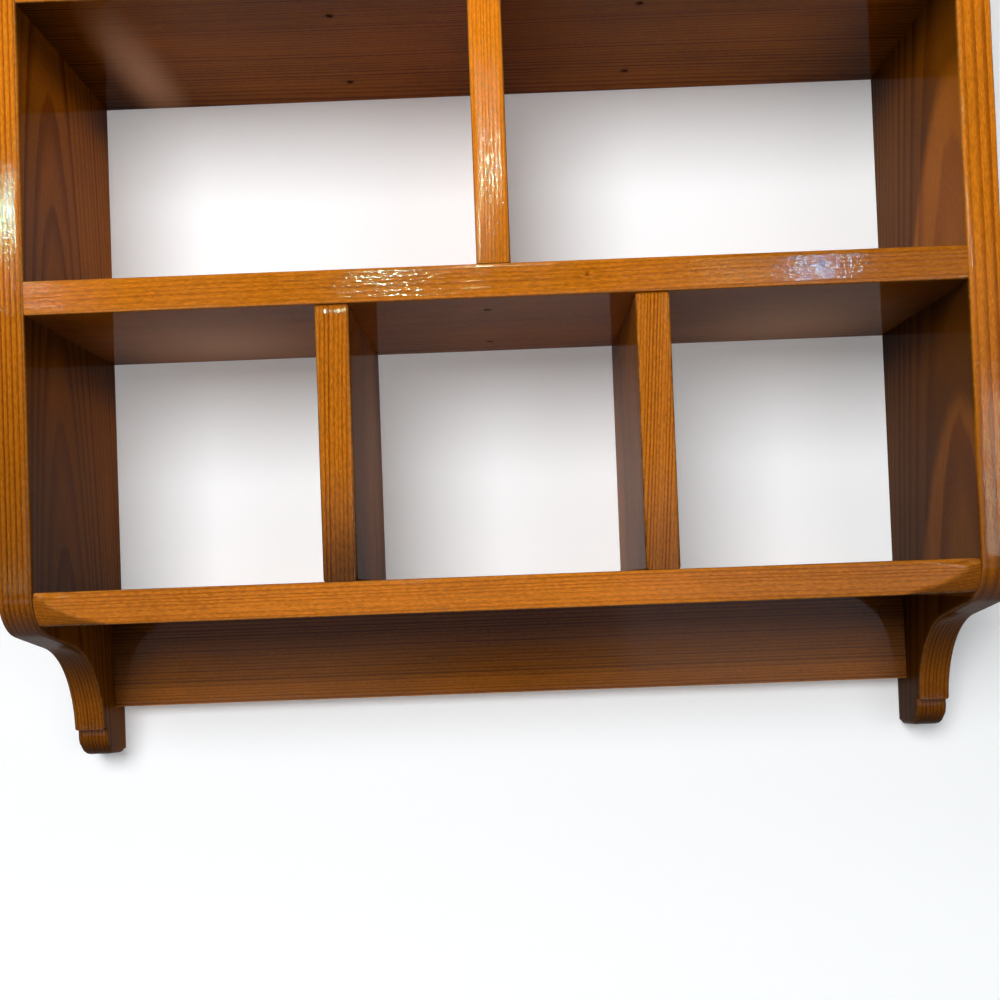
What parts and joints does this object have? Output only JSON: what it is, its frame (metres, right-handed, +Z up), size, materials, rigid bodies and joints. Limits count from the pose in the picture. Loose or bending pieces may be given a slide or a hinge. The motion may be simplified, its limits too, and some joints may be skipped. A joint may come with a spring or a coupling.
{
  "type": "shadow box shelf",
  "caption": "Wall-hung open-backed display shelf with scrolled sides, shelves, upright dividers and upper and lower back rails, in glossy amber-varnished softwood.",
  "frame": {"origin": "midway between the two hanging holes in the top rail, on the wall plane at the back of the case", "axes": "+X to the right as seen from the front, +Y into the wall, +Z up"},
  "size_m": [0.546, 0.14, 0.6995],
  "materials": {
    "side_wood": "glossy amber varnish",
    "shelf_wood": "glossy amber varnish",
    "divider_wood": "glossy amber varnish",
    "rail_wood": "glossy amber varnish",
    "nail_steel": "plain wire"
  },
  "bodies": {
    "root": {"left_side": "side_wood", "right_side": "side_wood", "bottom_shelf": "shelf_wood", "lower_middle_shelf": "shelf_wood", "upper_middle_shelf": "shelf_wood", "top_shelf": "shelf_wood", "lower_left_divider": "divider_wood", "lower_right_divider": "divider_wood", "middle_divider": "divider_wood", "upper_left_divider": "divider_wood", "upper_right_divider": "divider_wood", "bottom_rail": "rail_wood", "top_rail": "rail_wood", "left_side_nails": "nail_steel", "right_side_nails": "nail_steel", "bottom_rail_nails": "nail_steel", "top_rail_nails": "nail_steel", "lower_divider_nails": "nail_steel", "middle_divider_nails": "nail_steel", "upper_divider_nails": "nail_steel"}
  },
  "joints": []
}
